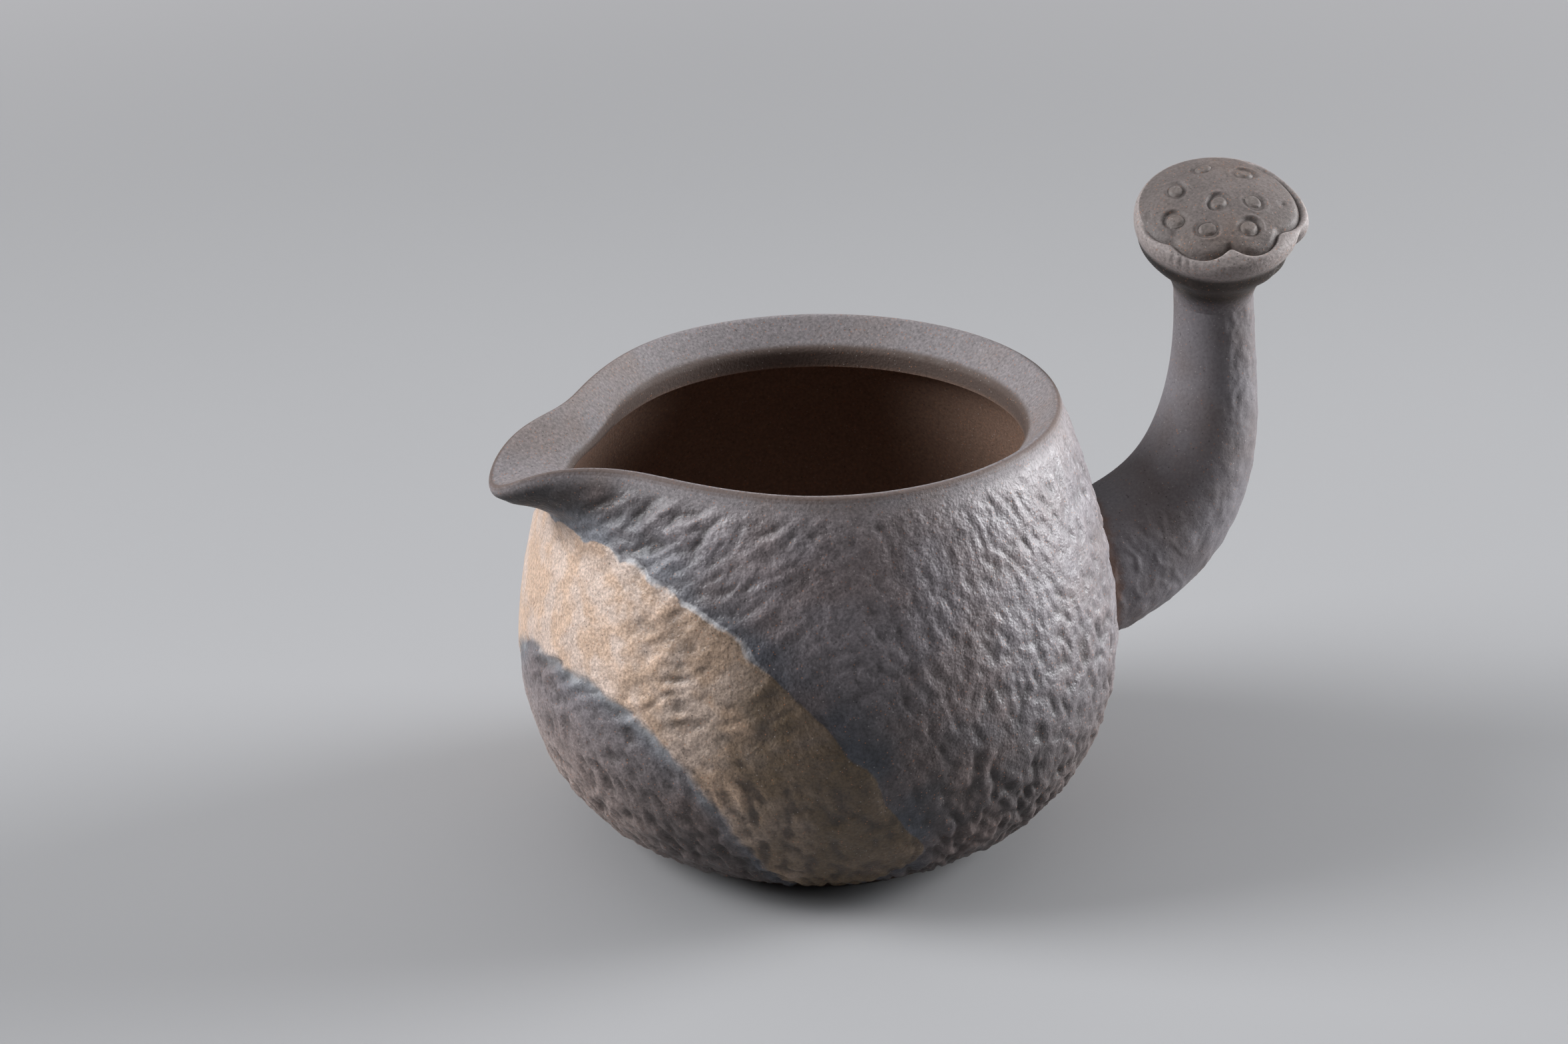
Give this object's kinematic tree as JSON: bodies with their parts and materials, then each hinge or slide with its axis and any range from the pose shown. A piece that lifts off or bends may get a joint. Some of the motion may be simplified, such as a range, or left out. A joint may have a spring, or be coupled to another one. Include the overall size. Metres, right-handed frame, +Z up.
{
  "type": "tea pitcher",
  "caption": "Squat round stoneware tea pitcher with a drawn pouring lip, an inward-bevelled rim and an upright side handle that ends in a lotus seed pod; tea is poured through the lip.",
  "frame": {"origin": "middle of the foot's flat underside, on the vessel's axis", "axes": "+Z up along the vessel's axis, +X towards the handle, so the lip pours towards -X"},
  "size_m": [0.1264, 0.09, 0.0942],
  "materials": {
    "foot_clay": "bare dark brown stoneware, turned smooth",
    "wall_clay": "matte purple-grey stoneware, hammered, with a slanting tan slip band",
    "rim_clay": "matte brown-grey stoneware, smooth and sandy, rust at the edge",
    "stem_clay": "matte slate-grey stoneware, smooth inside, bark-like outside",
    "pod_clay": "matte brown-grey stoneware with rust specks",
    "face_clay": "matte brown-grey stoneware, smoothed by hand",
    "seed_clay": "matte brown-grey stoneware pellets"
  },
  "bodies": {
    "root": {"foot": "foot_clay", "vessel_wall": "wall_clay", "rim_collar": "rim_clay", "handle_stem": "stem_clay", "pod_cup": "pod_clay", "pod_face": "face_clay", "seed_1": "seed_clay", "seed_2": "seed_clay", "seed_3": "seed_clay", "seed_4": "seed_clay", "seed_5": "seed_clay", "seed_6": "seed_clay", "seed_7": "seed_clay", "seed_8": "seed_clay"}
  },
  "joints": []
}
